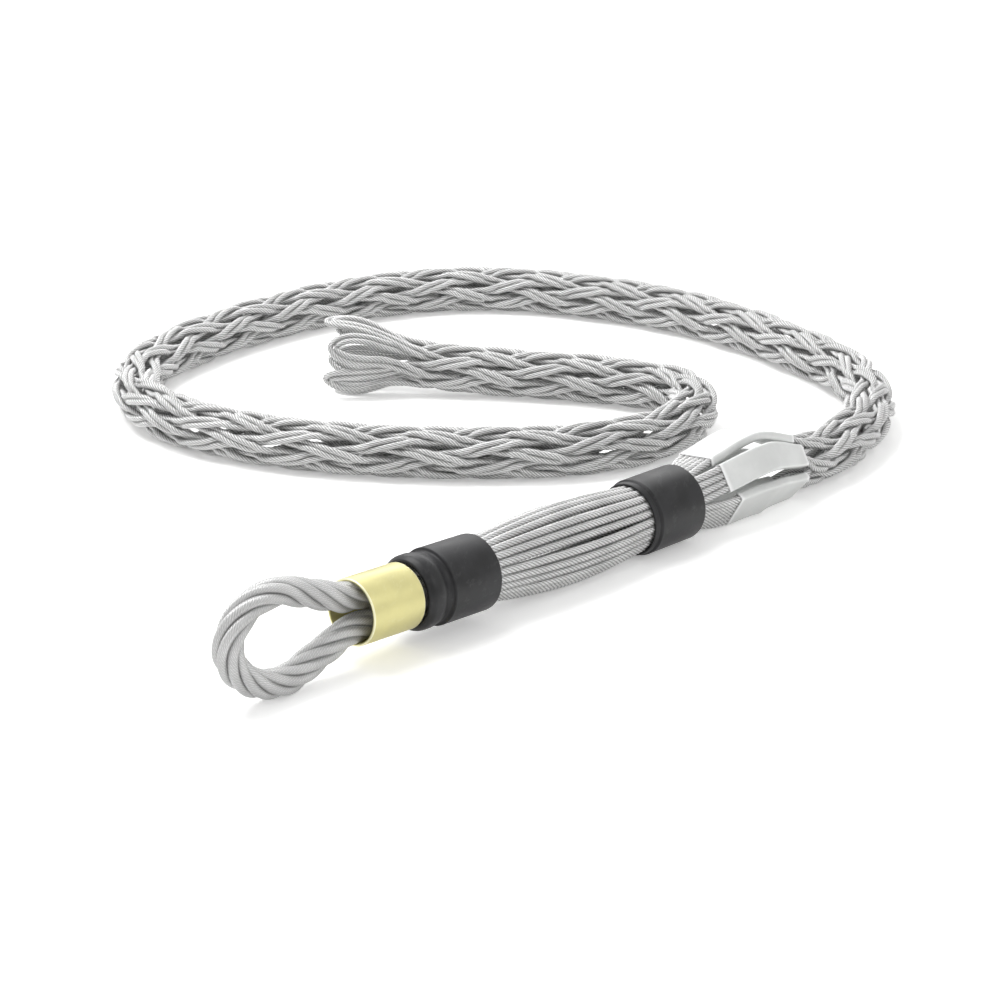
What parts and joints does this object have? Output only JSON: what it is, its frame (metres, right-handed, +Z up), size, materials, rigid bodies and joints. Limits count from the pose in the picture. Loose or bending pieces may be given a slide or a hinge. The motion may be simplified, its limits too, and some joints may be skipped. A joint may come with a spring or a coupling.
{
  "type": "cable pulling grip",
  "caption": "Cable pulling grip with a wire rope eye, a sleeve, rubber collars on a bundle of thin ropes, sheet-metal clips, and a long woven sock with an open, looped tail.",
  "frame": {"origin": "under the middle of the grip's box, on the surface it lies on", "axes": "+Z up, +Y from the eye's side of the coil to the far side, +X to the right"},
  "size_m": [0.3946, 0.5759, 0.0473],
  "materials": {
    "thin_wire_rope": "galvanised, satin, fine lay lines",
    "eye_wire_rope": "galvanised, satin, fine wires along each strand",
    "rope_core": "galvanised, dull",
    "crimp_steel": "plain steel",
    "yellow_plated_sleeve": "pale yellow plating, satin",
    "black_rubber": "moulded, soft sheen, light scuffs",
    "clip_sheet": "bright folded sheet, faint streaks"
  },
  "bodies": {
    "root": {"ferrule": "yellow_plated_sleeve", "eye_strand_1": "eye_wire_rope", "eye_strand_2": "eye_wire_rope", "eye_strand_3": "eye_wire_rope", "eye_strand_4": "eye_wire_rope", "eye_strand_5": "eye_wire_rope", "eye_strand_6": "eye_wire_rope", "eye_core": "rope_core", "front_collar": "black_rubber", "crimp_core": "crimp_steel", "rear_collar": "black_rubber", "clip_top": "clip_sheet", "clip_front": "clip_sheet", "clip_near": "clip_sheet", "clip_bottom": "clip_sheet", "clip_far": "clip_sheet", "lead_rope_01": "thin_wire_rope", "lead_rope_02": "thin_wire_rope", "lead_rope_03": "thin_wire_rope", "lead_rope_04": "thin_wire_rope", "lead_rope_05": "thin_wire_rope", "lead_rope_06": "thin_wire_rope", "lead_rope_07": "thin_wire_rope", "lead_rope_08": "thin_wire_rope", "lead_rope_09": "thin_wire_rope", "lead_rope_10": "thin_wire_rope", "lead_rope_11": "thin_wire_rope", "lead_rope_12": "thin_wire_rope", "lead_rope_13": "thin_wire_rope", "lead_rope_14": "thin_wire_rope", "lead_rope_15": "thin_wire_rope", "lead_rope_16": "thin_wire_rope", "lead_rope_17": "thin_wire_rope", "lead_rope_18": "thin_wire_rope", "lead_rope_19": "thin_wire_rope", "lead_rope_20": "thin_wire_rope", "lead_rope_21": "thin_wire_rope", "lead_rope_22": "thin_wire_rope", "lead_rope_23": "thin_wire_rope", "lead_rope_24": "thin_wire_rope", "woven_pair_1": "thin_wire_rope", "woven_pair_2": "thin_wire_rope", "woven_pair_3": "thin_wire_rope", "woven_pair_4": "thin_wire_rope", "woven_pair_5": "thin_wire_rope", "woven_pair_6": "thin_wire_rope"}
  },
  "joints": []
}
